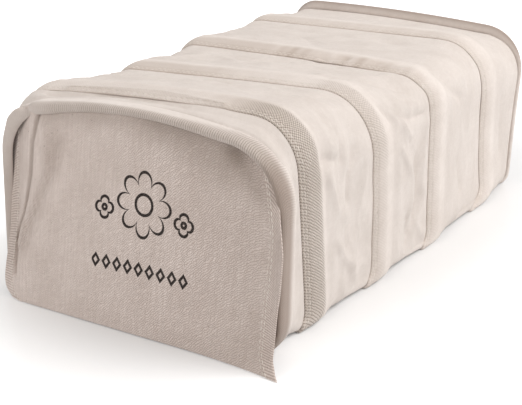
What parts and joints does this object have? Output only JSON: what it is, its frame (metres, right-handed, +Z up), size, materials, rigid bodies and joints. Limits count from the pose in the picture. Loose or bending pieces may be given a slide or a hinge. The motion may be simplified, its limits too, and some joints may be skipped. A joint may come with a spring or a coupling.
{
  "type": "bread bag",
  "caption": "Long canvas bread bag standing open as a box-shaped cloth tunnel on its flat bottom, with hoop casings, a rolled rim and a flap over its mouth.",
  "frame": {"origin": "centre of the bag's box, on the surface that it stands on", "axes": "+Z up, +Y along the bag from its mouth to its back end, +X to the right as seen from the mouth"},
  "size_m": [0.1982, 0.364, 0.1201],
  "materials": {
    "canvas": "matt undyed cotton canvas, plain woven, with soft wrinkles",
    "casing_tape": "matt undyed coarse cotton tape with an open weave and stitching along its front edge",
    "flap_canvas": "matt undyed heavy cotton and flax twill with dark flecks, and a small dark brown print"
  },
  "bodies": {
    "root": {"section_1": "canvas", "section_2": "canvas", "section_3": "canvas", "section_4": "canvas", "section_5": "canvas", "casing_1": "casing_tape", "casing_2": "casing_tape", "casing_3": "casing_tape", "casing_4": "casing_tape", "front_rim": "casing_tape", "rear_rim": "casing_tape", "back_panel": "canvas", "front_flap": "flap_canvas"}
  },
  "joints": []
}
